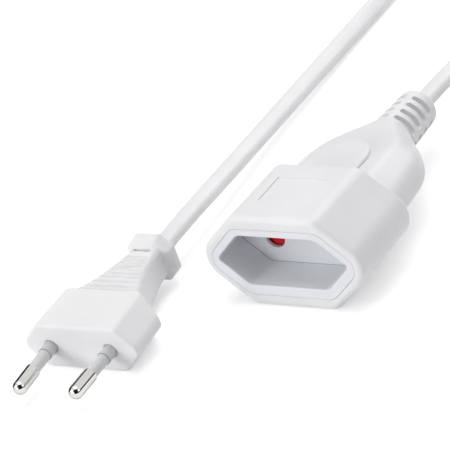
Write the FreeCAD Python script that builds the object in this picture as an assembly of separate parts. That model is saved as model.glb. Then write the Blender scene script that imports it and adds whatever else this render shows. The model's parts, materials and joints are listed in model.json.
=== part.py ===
import FreeCAD, Part
import math
import os

# Two-pin extension lead: a hexagonal coupler socket with a spring-returned
# pin shutter, a flat two-core cord and a flat two-pin plug. Units are mm.
# The socket lies on the surface with its mouth towards -Y and its cord
# leaving towards +Y. The origin is under the middle of the socket.

Vector = FreeCAD.Vector

# Socket shell. A hexagon's corner and flat widths are taken before rounding
SOCKET_LENGTH = 80.8
SHELL_HEIGHT = 27.4
SHELL_CORNER_WIDTH = 55.9
SHELL_FLAT_WIDTH = 25.2
SHELL_LENGTH = 27.5
SHELL_SIDE_RADIUS = 7.5
SHELL_EDGE_RADIUS = 4.8
SHELL_END_WALL = 1.9
RIM_RADIUS = 1.6
SHOULDER_RADIUS = 1.3
PLATE_WIDTH = 17.0
PLATE_LENGTH = 11.6
PLATE_FRONT = 8.7
PLATE_DEPTH = 0.3

# Neck behind the shell: share of its length, corner width, height, flat width
NECK_LENGTH = 36.1
NECK_WALL = 2.2
NECK_SIDE_RADIUS = 6.0
NECK_EDGE_RADIUS = 5.0
NECK_STATIONS = (
    (0.00, 49.2, 17.3, 24.1),
    (0.17, 49.2, 16.8, 23.6),
    (0.31, 49.2, 16.4, 23.2),
    (0.45, 49.2, 15.9, 22.8),
    (0.58, 47.4, 15.1, 21.6),
    (0.71, 40.0, 14.2, 17.9),
    (0.83, 29.2, 13.6, 12.9),
    (0.92, 20.7, 13.2, 9.1),
    (1.00, 15.1, 13.0, 6.5),
)
PAD_WIDTH = 14.4
PAD_LENGTH = 20.4
PAD_ARCH = 9.4
PAD_TOP = 9.2
PAD_THICKNESS = 3.0
PAD_EDGE_RADIUS = 0.6
PAD_ROOT = 1.5

# Recess that takes a flat two-pin plug, and the insert around it. The recess
# stands a little higher than the middle of the socket, within the plug's play
RECESS_CORNER_WIDTH = 40.0
RECESS_HEIGHT = 15.2
RECESS_FLAT_WIDTH = 24.0
RECESS_DEPTH = 11.8
RECESS_RISE = 0.4
RECESS_SIDE_RADIUS = 1.2
RECESS_EDGE_RADIUS = 3.0
LIP_RADIUS = 0.4
INSERT_WALL = 2.5
INSERT_FLOOR = 1.0
INSERT_CORNER_RADIUS = 4.6
INSERT_CLEARANCE = 0.1
PIN_SPACING = 17.8
PIN_HOLE_RADIUS = 3.0

# Shutter chamber, between the floor of the insert and the contact carrier
CHAMBER_LENGTH = 5.0
CHAMBER_WALL = 0.8
SHUTTER_WING_RADIUS = 3.3
SHUTTER_THICKNESS = 2.5
SHUTTER_RAMP = 0.9
SHUTTER_HUB_RADIUS = 3.0
SHUTTER_NECK_RADIUS = 1.9
SHUTTER_ARM_HEIGHT = 3.6
SHUTTER_GAP = 0.4
SHUTTER_NECK_GAP = 0.3
STOP_SIZE = 1.0
STOP_CLEARANCE = 0.3
PIVOT_RADIUS = 1.25
PIVOT_CLEARANCE = 0.05
PIVOT_FIT = 0.02
PIVOT_FRONT_DEPTH = 0.6
PIVOT_BACK_DEPTH = 3.0
SPRING_WIRE = 0.4
SPRING_RADIUS = 2.45
SPRING_TURNS = 2
SPRING_PITCH = 0.55
SPRING_STEPS = 4
SPRING_LEG = 2.6
SPRING_CLEARANCE = 0.15
PEG_RADIUS = 0.35
PEG_LENGTH = 0.7
PEG_RISE = 1.3
PEG_CLEARANCE = 0.05

# Contacts and their carrier
CARRIER_CLEARANCE = 0.1
CARRIER_LIP = 0.8
CARRIER_LIP_RADIUS = 2.25
CONTACT_INNER_RADIUS = 2.05
CONTACT_WALL = 0.4
CONTACT_LENGTH = 9.0
CONTACT_SLIT = 0.8
CONTACT_CLEARANCE = 0.1
CRIMP_OUTER_RADIUS = 1.1
CRIMP_INNER_RADIUS = 0.6
CRIMP_LENGTH = 4.6
CRIMP_LINK = 1.6
STRAND_RADIUS = 0.55
STRAND_SHOW = 0.6

# Cord: flat, two cores side by side
CORD_WIDTH = 6.0
CORD_THICKNESS = 3.8
CORE_RADIUS = 1.1
CORE_SPACING = 2.3
CORE_BEND_RUN = 3.4
CORD_BORE_CLEARANCE = 0.1

# Strain relief of the socket and the ring that holds the cord in it
RELIEF_ROOT_RADIUS = 6.5
RELIEF_TIP_RADIUS = 5.85
RELIEF_TIP_ROUND = 2.0
RELIEF_STEM_RADIUS = 4.4
RELIEF_STEM_CLEARANCE = 0.1
RELIEF_STEM_LENGTH = 8.0
RELIEF_FLANGE_WIDTH = 14.0
RELIEF_FLANGE_HEIGHT = 9.0
RELIEF_FLANGE_CORNER = 2.5
RELIEF_FLANGE_THICKNESS = 2.0
RELIEF_SLOT_ROWS = 4
RELIEF_SLOT_PITCH = 3.65
RELIEF_SLOT_WIDTH = 1.9
RELIEF_SLOT_DEPTH = 2.1
RELIEF_SLOT_LEAD = 0.3
RELIEF_SLOT_TURN = 8.0
RELIEF_WEB = 1.7
CLAMP_WIDTH = 11.0
CLAMP_HEIGHT = 7.6
CLAMP_LENGTH = 3.2
CLAMP_CORNER = 2.0
CLAMP_GAP = 0.2
SHEATH_INSIDE = 6.0

# Plug. Distances along it start at the face that the pins stand on
PLUG_CORNER_WIDTH = 38.2
PLUG_HEIGHT = 13.7
PLUG_FLAT_WIDTH = 25.0
PLUG_REAR_FLAT_WIDTH = 23.4
PLUG_SIDE_RADIUS = 3.0
PLUG_EDGE_RADIUS = 2.0
PLUG_FACE_RADIUS = 0.9
PLUG_REAR_ROUND = 2.4
PLUG_SIDE_LENGTH = 12.3
PLUG_BODY_LENGTH = 16.6
PLUG_REAR_WIDTH = 22.6
PLUG_NECK_ROOT_HEIGHT = 12.6
PLUG_NECK_TIP_HEIGHT = 9.6
PLUG_NECK_END = 38.6
PLUG_NECK_EDGE_RADIUS = 2.0
PLUG_LARGE_GROOVES = (16.9, 19.1, 21.5, 23.6, 25.4)
PLUG_LARGE_GROOVE_RADIUS = 0.65
PLUG_LARGE_GROOVE_DEPTH = 0.8
PLUG_FINE_GROOVES = 7
PLUG_FINE_FIRST = 27.2
PLUG_FINE_PITCH = 1.08
PLUG_FINE_GROOVE_RADIUS = 0.32
PLUG_FINE_GROOVE_DEPTH = 0.4
PLUG_SLOT_WIDTH = 5.6
PLUG_SLOT_LENGTH = 1.2
PLUG_SLOT_DEPTH = 1.4
PLUG_SLOT_PLACE = 36.4
COLLAR_WIDTH = 14.4
COLLAR_HEIGHT = 14.2
COLLAR_CORNER = 3.6
COLLAR_ROUND = 1.1
COLLAR_BACK = 42.4
PIN_RADIUS = 2.0
PIN_LENGTH = 19.0
PIN_BARE_LENGTH = 9.0
PIN_CORE_RADIUS = 1.2
PIN_BASE_SPACING = 18.9
PIN_TIP_SPACING = 17.6
PIN_FLANGE_RADIUS = 2.4
PIN_FLANGE_LENGTH = 1.5
PIN_BARREL_LENGTH = 4.0
SLEEVE_STUB_RADIUS = 1.92
SLEEVE_STUB_LENGTH = 3.4
SLEEVE_RADIUS = 1.7
SLEEVE_ROOT = 1.2
FACE_HOLE_RADIUS = 2.15
FACE_HOLE_DEPTH = 0.5
BRIDGE_WIDTH = 26.0
BRIDGE_HEIGHT = 8.6
BRIDGE_FRONT = 1.4
BRIDGE_LENGTH = 7.0
PLUG_SHEATH_INSIDE = 19.0
PLUG_CORE_RUN = 2.4
PLUG_FIT = 0.04

# The collar's sections: place along the plug, and how far it stands in there
COLLAR_SECTIONS = (
    (38.2, 2.5),
    (38.7, 1.5),
    (39.2, 0.7),
    (39.8, 0.15),
    (40.3, 0.0),
    (41.6, 0.0),
    (42.1, 0.25),
    (42.4, 0.8),
)

# Half width of the plug's neck along its length
PLUG_NECK_SIDE = (
    (16.6, 11.3),
    (19.3, 9.4),
    (22.6, 7.9),
    (26.4, 6.6),
    (30.2, 5.6),
    (34.2, 4.9),
    (38.6, 4.6),
)

# Where the plug lies: the middle of its pin face, turned a little and tipped
# forward, because the cord holds its tail up
PLUG_X = -45.1
PLUG_Y = -74.7
PLUG_TURN = 2.0
PLUG_TIP = 2.7

# Coil that holds the part of the cord that is put away. The cord stands on
# edge in it, as a flat cord bends only that way
COIL_RADIUS = 43.25
COIL_TURNS = 7.5
COIL_TURN_GAP = 0.6
COIL_LAYER_GAP = 0.5
COIL_KNOTS = 4
COIL_X = -58.8
COIL_Y = 177.0
TIE_WIDTH = 8.0
TIE_THICKNESS = 0.8
TIE_CLEARANCE = 0.5
TIE_CORNER = 1.0
TWIST_LENGTH = 20.0
TWIST_STEPS = 6

# Points that the cord's free stretches pass, between their first and last runs
SOCKET_FIRST_RUN = 10.8
PLUG_FIRST_RUN = 14.0
LAST_RUN = 12.0
SOCKET_RUN = (
    (0.8, 72.7, 13.0),
    (10.0, 97.8, 11.2),
    (22.0, 121.8, 10.7),
)
PLUG_RUN = (
    (-49.05, 9.1, 8.2),
    (-53.1, 42.5, 5.6),
    (-56.6, 79.3, 3.5),
    (-58.05, 104.8, 2.8),
    (-58.4, 126.8, 2.7),
)
ROUND_SHARE = 0.45

# Fineness of measured points and of tests for flatness
FLAT_LIMIT = 1e-5
KNOT_STEP = 0.001
GAP_POINTS = 240

SOCKET_FRONT = -SOCKET_LENGTH / 2
SOCKET_AXIS = SHELL_HEIGHT / 2
RELIEF_BACK = SOCKET_FRONT + SOCKET_LENGTH
NECK_FRONT = SOCKET_FRONT + SHELL_LENGTH
NECK_BACK = NECK_FRONT + NECK_LENGTH
STEM_FRONT = NECK_BACK - RELIEF_STEM_LENGTH
FLANGE_FRONT = STEM_FRONT - RELIEF_FLANGE_THICKNESS
SHEATH_END = FLANGE_FRONT - SHEATH_INSIDE

FLOOR_FRONT = SOCKET_FRONT + RECESS_DEPTH
FLOOR_BACK = FLOOR_FRONT + INSERT_FLOOR
SHUTTER_FRONT = FLOOR_BACK + SHUTTER_GAP
SHUTTER_BACK = SHUTTER_FRONT + SHUTTER_THICKNESS
SPRING_FRONT = SHUTTER_BACK + SPRING_CLEARANCE + SPRING_WIRE / 2
CARRIER_FRONT = FLOOR_BACK + CHAMBER_LENGTH
CARRIER_BACK = NECK_FRONT - SHELL_END_WALL
CONTACT_FRONT = CARRIER_FRONT + CARRIER_LIP
CONTACT_BACK = CONTACT_FRONT + CONTACT_LENGTH
CRIMP_FRONT = CONTACT_BACK + CRIMP_LINK
CRIMP_BACK = CRIMP_FRONT + CRIMP_LENGTH
CORE_END = CRIMP_BACK + STRAND_SHOW
CONTACT_OUTER_RADIUS = CONTACT_INNER_RADIUS + CONTACT_WALL
PIVOT_SEAT_RADIUS = PIVOT_RADIUS + PIVOT_FIT
PEG_PLACE = SPRING_RADIUS + SPRING_WIRE / 2 + PEG_CLEARANCE + PEG_RADIUS

BRIDGE_BACK = BRIDGE_FRONT + BRIDGE_LENGTH
SLEEVE_BACK = BRIDGE_FRONT + SLEEVE_ROOT
PLUG_CORE_END = BRIDGE_BACK + PIN_BARREL_LENGTH + STRAND_SHOW
PLUG_SHEATH_END = COLLAR_BACK - PLUG_SHEATH_INSIDE
PIN_LEAN = math.degrees(math.atan2((PIN_BASE_SPACING - PIN_TIP_SPACING) / 2, PIN_LENGTH))
PLUG_TIP_ANGLE = math.radians(PLUG_TIP)
PLUG_LIFT = (
    (PLUG_HEIGHT / 2 - PLUG_FACE_RADIUS) * math.cos(PLUG_TIP_ANGLE)
    + PLUG_FACE_RADIUS * (1 - math.sin(PLUG_TIP_ANGLE))
)

COIL_PITCH = CORD_THICKNESS + COIL_TURN_GAP
COIL_LAYER = CORD_WIDTH + COIL_LAYER_GAP
COIL_LOW = TIE_THICKNESS + TIE_CLEARANCE + CORD_WIDTH / 2
COIL_HIGH = COIL_LOW + COIL_LAYER
COIL_MIDDLE_X = COIL_X + COIL_RADIUS
COIL_END_X = COIL_X + 2 * COIL_RADIUS
COIL_FRONT = COIL_Y - CORD_WIDTH

RECESS_SIZE = (RECESS_CORNER_WIDTH, RECESS_HEIGHT, RECESS_FLAT_WIDTH)
RECESS_AXIS = SOCKET_AXIS + RECESS_RISE


def place_across(y, lift=0.0):
    """Puts a flat outline across the socket or plug: sideways is X, up is Z."""
    return lambda a, b: Vector(a, y, b + lift)


def place_seen_from_above(z):
    return lambda a, b: Vector(a, b, z)


def place_along(x):
    """Puts a flat outline in a side view: sideways is Y, up is Z."""
    return lambda a, b: Vector(x, a, b)


def corner_spots(before, corner, after, radius):
    """Start, middle and end of the arc that rounds a corner."""
    back = (before - corner).normalize()
    ahead = (after - corner).normalize()
    half = back.getAngle(ahead) / 2
    reach = radius / math.tan(half)
    inward = (back + ahead).normalize()
    middle = corner + inward * (radius / math.sin(half) - radius)
    return corner + back * reach, middle, corner + ahead * reach


def rounded_outline(corners, radii, place):
    """A closed wire of straight sides, with an arc of its own radius at each corner."""
    count = len(corners)
    points = [Vector(*corner, 0) for corner in corners]
    spots = []
    for index in range(count):
        ahead = points[(index + 1) % count]
        arc = corner_spots(points[index - 1], points[index], ahead, radii[index])
        spots.append([place(spot.x, spot.y) for spot in arc])
    edges = []
    for index in range(count):
        start, middle, end = spots[index]
        if radii[index] > 0:
            edges.append(Part.Arc(start, middle, end).toShape())
        edges.append(Part.LineSegment(end, spots[(index + 1) % count][0]).toShape())
    return Part.Wire(edges)


def polygon_prism(corners, radii, place, push):
    return Part.Face(rounded_outline(corners, radii, place)).extrude(push)


def hexagon_wire(size, radii, y, lift=0.0):
    """A hexagon with flat top and bottom. Size is corner width, height and flat width."""
    side = size[0] / 2
    top = size[1] / 2
    flat = size[2] / 2
    corners = [(side, 0), (flat, top), (-flat, top), (-side, 0), (-flat, -top), (flat, -top)]
    return rounded_outline(corners, [radii[0], radii[1], radii[1]] * 2, place_across(y, lift))


def hexagon_prism(size, radii, y0, y1, lift=0.0):
    return Part.Face(hexagon_wire(size, radii, y0, lift)).extrude(Vector(0, y1 - y0, 0))


def grown(size, wall):
    """A hexagon's size with its sides moved out by a wall, or in by a negative one."""
    rise = size[1] / 2
    run = (size[0] - size[2]) / 2
    slope = math.hypot(rise, run)
    side = wall * slope / rise
    flat = wall * (slope - run) / rise
    return (size[0] + 2 * side, size[1] + 2 * wall, size[2] + 2 * flat)


INSERT_SIZE = grown(RECESS_SIZE, INSERT_WALL)
CHAMBER_SIZE = grown(INSERT_SIZE, -CHAMBER_WALL)


def box(x0, x1, y0, y1, z0, z1):
    return Part.makeBox(x1 - x0, y1 - y0, z1 - z0, Vector(x0, y0, z0))


def rod(x, z, y0, y1, radius):
    """A round bar along Y."""
    return Part.makeCylinder(radius, y1 - y0, Vector(x, y0, z), Vector(0, 1, 0))


def turned(profile, x, z):
    """A solid turned about a line along Y. The profile's points are (y, radius)."""
    points = [Vector(x + radius, y, z) for y, radius in profile]
    face = Part.Face(Part.makePolygon(points + points[:1]))
    return face.revolve(Vector(x, 0, z), Vector(0, 1, 0), 360)


def cord_outline(place, clearance=0.0):
    """The cord's section: a flat strip with round edges."""
    half = CORD_THICKNESS / 2 + clearance
    side = (CORD_WIDTH - CORD_THICKNESS) / 2
    slant = half * math.sqrt(0.5)
    edges = []
    for way in (1, -1):
        start = place(way * side, -way * half)
        edge = place(way * (side + half), 0)
        end = place(way * side, way * half)
        low = place(way * (side + slant), -way * slant)
        high = place(way * (side + slant), way * slant)
        edges.append(Part.Arc(start, low, edge).toShape())
        edges.append(Part.Arc(edge, high, end).toShape())
        edges.append(Part.LineSegment(end, place(-way * side, way * half)).toShape())
    return Part.Wire(edges)


def cord_bar(y0, y1, z, clearance=0.0):
    """A straight piece of the cord, lying flat along Y."""
    outline = cord_outline(place_across(y0, z), clearance)
    return Part.Face(outline).extrude(Vector(0, y1 - y0, 0))


def sweep(profile, path):
    shell = Part.BRepOffsetAPI.MakePipeShell(path)
    shell.add(profile)
    shell.build()
    shell.makeSolid()
    return shell.shape()


def circle_wire(centre, direction, radius):
    return Part.Wire(Part.Circle(centre, direction, radius).toShape())


def route_wire(points):
    """Straight runs joined by tangent arcs, each as large as its runs allow."""
    edges = []
    radii = []
    last = points[0]
    for before, corner, after in zip(points, points[1:], points[2:]):
        run = min((before - corner).Length, (after - corner).Length)
        turn = (corner - before).getAngle(after - corner)
        radius = ROUND_SHARE * run / math.tan(turn / 2)
        radii.append(radius)
        start, middle, end = corner_spots(before, corner, after, radius)
        edges.append(Part.LineSegment(last, start).toShape())
        edges.append(Part.Arc(start, middle, end).toShape())
        last = end
    edges.append(Part.LineSegment(last, points[-1]).toShape())
    return Part.Wire(edges), radii


def arc_over(start, end, bulge, angle):
    """An arc on a chord, on the side of bulge, that leaves the chord at an angle."""
    sag = (end - start).Length / 2 * math.tan(angle / 2)
    return Part.Arc(start, (start + end) * 0.5 + bulge.normalize() * sag, end).toShape()


def biarc(start, out, end, into):
    """Two tangent arcs between two points with their directions."""
    chord = end - start
    spread = 2 * (1 - out.dot(into))
    cross = chord.dot(out + into)
    reach = (math.sqrt(cross * cross + spread * chord.dot(chord)) - cross) / spread
    joint = (start + end + (out - into) * reach) * 0.5
    first = (joint - start).normalize()
    second = (end - joint).normalize()
    return [
        arc_over(start, joint, out - first * out.dot(first), out.getAngle(first)),
        arc_over(joint, end, second * into.dot(second) - into, into.getAngle(second)),
    ]


def wound_wire(knots, lead):
    """Turns through knots, each a point and its direction, with straight ends."""
    first, out = knots[0]
    last, into = knots[-1]
    edges = [Part.LineSegment(first - out * lead, first).toShape()]
    for (p0, t0), (p1, t1) in zip(knots, knots[1:]):
        edges.extend(biarc(p0, t0, p1, t1))
    edges.append(Part.LineSegment(last, last + into * lead).toShape())
    return Part.Wire(edges)


def edges_at(shape, y, inside=None):
    """The edges that lie in the plane at y, or those of them inside a flat face."""
    found = []
    for edge in shape.Edges:
        bounds = edge.BoundBox
        if abs(bounds.YMin - y) > FLAT_LIMIT or abs(bounds.YMax - y) > FLAT_LIMIT:
            continue
        middle = edge.valueAt((edge.FirstParameter + edge.LastParameter) / 2)
        if inside is None or inside.isInside(middle, FLAT_LIMIT, True):
            found.append(edge)
    return found


# Socket shell with its neck

def neck_loft(wall):
    wires = []
    for share, *size in NECK_STATIONS:
        y = NECK_FRONT + share * NECK_LENGTH
        radii = (NECK_SIDE_RADIUS - wall, NECK_EDGE_RADIUS - wall)
        wires.append(hexagon_wire(grown(size, -wall), radii, y, SOCKET_AXIS))
    return Part.makeLoft(wires, True, False)


def label_pad():
    """The raised arch behind the shell, bare of any sign."""
    half = PAD_WIDTH / 2
    straight = PAD_LENGTH - PAD_ARCH
    top = SOCKET_AXIS + PAD_TOP
    place = place_seen_from_above(top - PAD_THICKNESS)
    y0 = NECK_FRONT - PAD_ROOT
    y1 = NECK_FRONT + straight
    arch = Part.Ellipse(place(0, y1 + PAD_ARCH), place(-half, y1), place(0, y1))
    outline = Part.Wire([
        Part.LineSegment(place(-half, y0), place(half, y0)).toShape(),
        Part.LineSegment(place(half, y0), place(half, y1)).toShape(),
        Part.ArcOfEllipse(arch, -math.pi / 2, math.pi / 2).toShape(),
        Part.LineSegment(place(-half, y1), place(-half, y0)).toShape(),
    ])
    pad = Part.Face(outline).extrude(Vector(0, 0, PAD_THICKNESS))
    rim = []
    for edge in pad.Edges:
        bounds = edge.BoundBox
        if bounds.ZMin > top - FLAT_LIMIT and bounds.YMax > y0 + FLAT_LIMIT:
            rim.append(edge)
    return pad.makeFillet(PAD_EDGE_RADIUS, rim)


def socket_shell():
    shell_size = (SHELL_CORNER_WIDTH, SHELL_HEIGHT, SHELL_FLAT_WIDTH)
    radii = (SHELL_SIDE_RADIUS, SHELL_EDGE_RADIUS)
    shell = hexagon_prism(shell_size, radii, SOCKET_FRONT, NECK_FRONT, SOCKET_AXIS)
    shell = shell.makeFillet(RIM_RADIUS, edges_at(shell, SOCKET_FRONT))
    shell = shell.makeFillet(SHOULDER_RADIUS, edges_at(shell, NECK_FRONT))
    shell = shell.fuse([neck_loft(0), label_pad()])
    pocket_radii = (INSERT_CORNER_RADIUS + INSERT_CLEARANCE,) * 2
    pocket_size = grown(INSERT_SIZE, INSERT_CLEARANCE)
    pocket = hexagon_prism(pocket_size, pocket_radii, SOCKET_FRONT, CARRIER_BACK, SOCKET_AXIS)
    hollow = neck_loft(NECK_WALL)
    hollow = hollow.cut(box(-SOCKET_LENGTH, SOCKET_LENGTH, STEM_FRONT, RELIEF_BACK, 0, SHELL_HEIGHT))
    mouth_size = grown(NECK_STATIONS[0][1:], -NECK_WALL)
    mouth_radii = (NECK_SIDE_RADIUS - NECK_WALL, NECK_EDGE_RADIUS - NECK_WALL)
    mouth = hexagon_prism(mouth_size, mouth_radii, CARRIER_BACK, NECK_FRONT, SOCKET_AXIS)
    bore_radius = RELIEF_STEM_RADIUS + RELIEF_STEM_CLEARANCE
    bore = rod(0, SOCKET_AXIS, STEM_FRONT, NECK_BACK, bore_radius)
    plate_y = SOCKET_FRONT + PLATE_FRONT
    plate = box(-PLATE_WIDTH / 2, PLATE_WIDTH / 2, plate_y, plate_y + PLATE_LENGTH,
                SHELL_HEIGHT - PLATE_DEPTH, SHELL_HEIGHT)
    return shell.cut([pocket, hollow, mouth, bore, plate]).removeSplitter()


# Insert with the plug recess and the shutter chamber

def socket_insert():
    radii = (INSERT_CORNER_RADIUS,) * 2
    insert = hexagon_prism(INSERT_SIZE, radii, SOCKET_FRONT, CARRIER_BACK, SOCKET_AXIS)
    recess_radii = (RECESS_SIDE_RADIUS, RECESS_EDGE_RADIUS)
    recess = hexagon_prism(RECESS_SIZE, recess_radii, SOCKET_FRONT, FLOOR_FRONT, RECESS_AXIS)
    chamber_radii = (INSERT_CORNER_RADIUS - CHAMBER_WALL,) * 2
    chamber = hexagon_prism(CHAMBER_SIZE, chamber_radii, FLOOR_BACK, CARRIER_BACK, SOCKET_AXIS)
    holes = [rod(side * PIN_SPACING / 2, SOCKET_AXIS, FLOOR_FRONT, FLOOR_BACK, PIN_HOLE_RADIUS)
             for side in (-1, 1)]
    seat = rod(0, SOCKET_AXIS, FLOOR_BACK - PIVOT_FRONT_DEPTH, FLOOR_BACK, PIVOT_SEAT_RADIUS)
    insert = insert.cut([recess, chamber, seat] + holes)
    lip = Part.Face(hexagon_wire(grown(RECESS_SIZE, INSERT_WALL / 2), radii, SOCKET_FRONT, RECESS_AXIS))
    insert = insert.makeFillet(LIP_RADIUS, edges_at(insert, SOCKET_FRONT, lip))
    stop_low = SOCKET_AXIS + SHUTTER_ARM_HEIGHT / 2 + STOP_CLEARANCE
    stop_side = -SHUTTER_HUB_RADIUS - STOP_CLEARANCE
    stop = box(stop_side - STOP_SIZE, stop_side, FLOOR_BACK, SHUTTER_BACK, stop_low, stop_low + STOP_SIZE)
    return insert.fuse(stop)


# Shutter that covers both contacts until two pins push it aside together

def shutter_wing():
    reach = PIN_SPACING / 2
    wing = rod(reach, SOCKET_AXIS, SHUTTER_FRONT, SHUTTER_BACK, SHUTTER_WING_RADIUS)
    low = SOCKET_AXIS - SHUTTER_WING_RADIUS
    high = SOCKET_AXIS + SHUTTER_WING_RADIUS
    ramp = Part.makePolygon([
        Vector(reach - SHUTTER_WING_RADIUS, SHUTTER_FRONT, high),
        Vector(reach - SHUTTER_WING_RADIUS, SHUTTER_FRONT, low),
        Vector(reach - SHUTTER_WING_RADIUS, SHUTTER_FRONT + SHUTTER_RAMP, low),
        Vector(reach - SHUTTER_WING_RADIUS, SHUTTER_FRONT, high),
    ])
    return wing.cut(Part.Face(ramp).extrude(Vector(2 * SHUTTER_WING_RADIUS, 0, 0)))


def pin_shutter():
    axis = Vector(0, 0, SOCKET_AXIS)
    right = shutter_wing()
    left = right.copy()
    left.rotate(axis, Vector(0, 1, 0), 180)
    half_arm = SHUTTER_ARM_HEIGHT / 2
    arm = box(-PIN_SPACING / 2, PIN_SPACING / 2, SHUTTER_FRONT + SHUTTER_RAMP, SHUTTER_BACK,
              SOCKET_AXIS - half_arm, SOCKET_AXIS + half_arm)
    hub = rod(0, SOCKET_AXIS, SHUTTER_FRONT, SHUTTER_BACK, SHUTTER_HUB_RADIUS)
    neck = rod(0, SOCKET_AXIS, SHUTTER_BACK, CARRIER_FRONT - SHUTTER_NECK_GAP, SHUTTER_NECK_RADIUS)
    peg = rod(-PEG_PLACE, SOCKET_AXIS - PEG_RISE, SHUTTER_BACK, SHUTTER_BACK + PEG_LENGTH, PEG_RADIUS)
    bore = rod(0, SOCKET_AXIS, SHUTTER_FRONT, CARRIER_FRONT, PIVOT_RADIUS + PIVOT_CLEARANCE)
    return right.fuse([left, arm, hub, neck, peg]).cut(bore).removeSplitter()


def shutter_pivot():
    start = FLOOR_BACK - PIVOT_FRONT_DEPTH
    return rod(0, SOCKET_AXIS, start, CARRIER_FRONT + PIVOT_BACK_DEPTH, PIVOT_RADIUS)


def shutter_spring():
    """A torsion spring round the shutter's neck, with one leg on each peg."""
    knots = []
    rate = SPRING_PITCH / (2 * math.pi)
    slope = math.hypot(SPRING_RADIUS, rate)
    steps = SPRING_STEPS * SPRING_TURNS
    for step in range(steps + 1):
        angle = 2 * math.pi * step / SPRING_STEPS
        x = -SPRING_RADIUS * math.cos(angle)
        z = SPRING_RADIUS * math.sin(angle)
        point = Vector(x, SPRING_FRONT + rate * angle, SOCKET_AXIS + z)
        direction = Vector(z, rate, -x) * (1 / slope)
        if step in (0, steps):
            direction = Vector(0, 0, 1)
        knots.append((point, direction))
    path = wound_wire(knots, SPRING_LEG)
    start = knots[0][0] - Vector(0, 0, SPRING_LEG)
    return sweep(circle_wire(start, Vector(0, 0, 1), SPRING_WIRE / 2), path)


# Contacts and the block that carries them

def contact_carrier():
    radii = (INSERT_CORNER_RADIUS - CHAMBER_WALL - CARRIER_CLEARANCE,) * 2
    size = grown(CHAMBER_SIZE, -CARRIER_CLEARANCE)
    carrier = hexagon_prism(size, radii, CARRIER_FRONT, CARRIER_BACK, SOCKET_AXIS)
    cuts = [rod(0, SOCKET_AXIS, CARRIER_FRONT, CARRIER_FRONT + PIVOT_BACK_DEPTH, PIVOT_SEAT_RADIUS)]
    bore_radius = CONTACT_OUTER_RADIUS + CONTACT_CLEARANCE
    for side in (-1, 1):
        x = side * PIN_SPACING / 2
        cuts.append(rod(x, SOCKET_AXIS, CARRIER_FRONT, CONTACT_FRONT, CARRIER_LIP_RADIUS))
        cuts.append(rod(x, SOCKET_AXIS, CONTACT_FRONT, CARRIER_BACK, bore_radius))
    peg = rod(-PEG_PLACE, SOCKET_AXIS + PEG_RISE, CARRIER_FRONT - PEG_LENGTH, CARRIER_FRONT, PEG_RADIUS)
    return carrier.cut(cuts).fuse(peg)


def contact(side):
    """A split sleeve that grips a pin, with a crimp barrel behind it."""
    x = side * PIN_SPACING / 2
    profile = [
        (CONTACT_FRONT, CONTACT_INNER_RADIUS),
        (CONTACT_FRONT, CONTACT_OUTER_RADIUS),
        (CONTACT_BACK, CONTACT_OUTER_RADIUS),
        (CRIMP_FRONT, CRIMP_OUTER_RADIUS),
        (CRIMP_BACK, CRIMP_OUTER_RADIUS),
        (CRIMP_BACK, CRIMP_INNER_RADIUS),
        (CRIMP_FRONT, CRIMP_INNER_RADIUS),
        (CONTACT_BACK, CONTACT_INNER_RADIUS),
    ]
    sleeve = turned(profile, x, SOCKET_AXIS)
    half = CONTACT_SLIT / 2
    slit = box(x - half, x + half, CONTACT_FRONT, CONTACT_BACK, SOCKET_AXIS,
               SOCKET_AXIS + CONTACT_OUTER_RADIUS)
    throat = box(x - CONTACT_OUTER_RADIUS, x + CONTACT_OUTER_RADIUS, CONTACT_BACK, CRIMP_FRONT,
                 SOCKET_AXIS, SOCKET_AXIS + CONTACT_OUTER_RADIUS)
    return sleeve.cut([slit, throat])


def core_pipe(points, radius):
    path, radii = route_wire(points)
    start = points[0]
    return sweep(circle_wire(start, points[1] - start, radius), path)


def socket_core(side):
    inner = side * CORE_SPACING / 2
    outer = side * PIN_SPACING / 2
    points = [
        Vector(inner, SHEATH_END, SOCKET_AXIS),
        Vector(inner, SHEATH_END - CORE_BEND_RUN, SOCKET_AXIS),
        Vector(outer, CORE_END + CORE_BEND_RUN, SOCKET_AXIS),
        Vector(outer, CORE_END, SOCKET_AXIS),
    ]
    return core_pipe(points, CORE_RADIUS)


def socket_strand(side):
    return rod(side * PIN_SPACING / 2, SOCKET_AXIS, CRIMP_FRONT, CORE_END, STRAND_RADIUS)


# Strain relief with its slotted sleeve

def relief_slot_row(y, radius):
    """Four curved slots round the sleeve, with round ends and webs between them."""
    width = RELIEF_SLOT_WIDTH
    outer = RELIEF_ROOT_RADIUS + width
    half_web = (RELIEF_WEB + width) / 2
    ring = rod(0, SOCKET_AXIS, y, y + width, outer)
    ring = ring.cut(rod(0, SOCKET_AXIS, y, y + width, radius - RELIEF_SLOT_DEPTH))
    webs = [box(-outer, outer, y, y + width, SOCKET_AXIS - half_web, SOCKET_AXIS + half_web),
            box(-half_web, half_web, y, y + width, SOCKET_AXIS - outer, SOCKET_AXIS + outer)]
    ends = []
    for turn in (0, 90, 180, 270):
        for side in (-1, 1):
            foot = Vector(side * half_web, y + width / 2, SOCKET_AXIS)
            end = Part.makeCylinder(width / 2, outer, foot, Vector(0, 0, 1))
            end.rotate(Vector(0, y, SOCKET_AXIS), Vector(0, 1, 0), turn)
            ends.append(end.common(ring))
    slots = ring.cut(webs).fuse(ends)
    slots.rotate(Vector(0, y, SOCKET_AXIS), Vector(0, 1, 0), RELIEF_SLOT_TURN)
    return slots


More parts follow.
